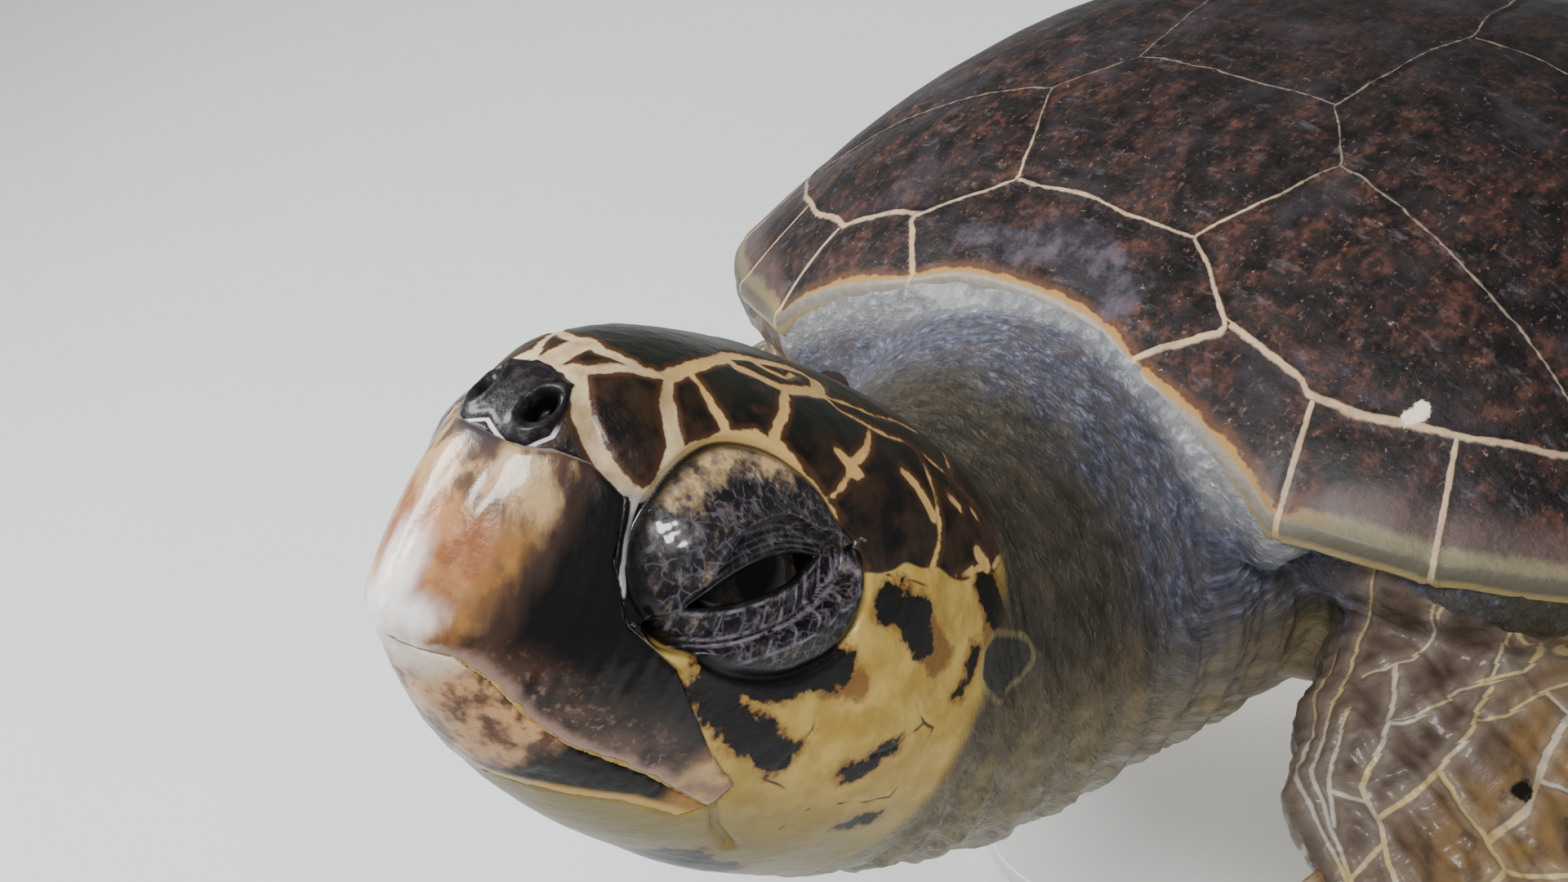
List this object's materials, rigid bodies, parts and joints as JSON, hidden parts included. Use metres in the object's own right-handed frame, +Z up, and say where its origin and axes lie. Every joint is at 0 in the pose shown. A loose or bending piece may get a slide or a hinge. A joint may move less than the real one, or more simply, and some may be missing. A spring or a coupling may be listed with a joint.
{
  "type": "loggerhead turtle model",
  "caption": "Life-size still model of a young loggerhead turtle rising nose up, head lifted and flippers spread, held by rods on a flat base.",
  "frame": {"origin": "bottom centre of the whole model's box, on the underside of the stand's base", "axes": "+Z up, -Y towards the snout, +X towards the turtle's left"},
  "size_m": [0.8614, 0.9088, 0.7695],
  "materials": {
    "shell": "wet dark brown horn with tan seams",
    "plastron": "cream yellow horn",
    "skin": "wrinkled and scaled, wet",
    "horn": "streaked ivory to dark brown horn",
    "eye": "wet and dark",
    "claw": "polished horn",
    "stand": "satin light grey"
  },
  "bodies": {
    "root": {"carapace": "shell", "plastron": "plastron", "trunk": "skin", "neck": "skin", "head": "skin", "beak_upper": "horn", "beak_lower": "horn", "eye_left": "eye", "eye_right": "eye", "tail": "skin", "flipper_front_left": "skin", "flipper_front_right": "skin", "flipper_hind_left": "skin", "flipper_hind_right": "skin", "claw_1": "claw", "claw_2": "claw", "claw_3": "claw", "claw_4": "claw", "claw_5": "claw", "claw_6": "claw", "claw_7": "claw", "claw_8": "claw", "stand_base": "stand", "stand_rod_front": "stand", "stand_rod_rear": "stand"}
  },
  "joints": []
}
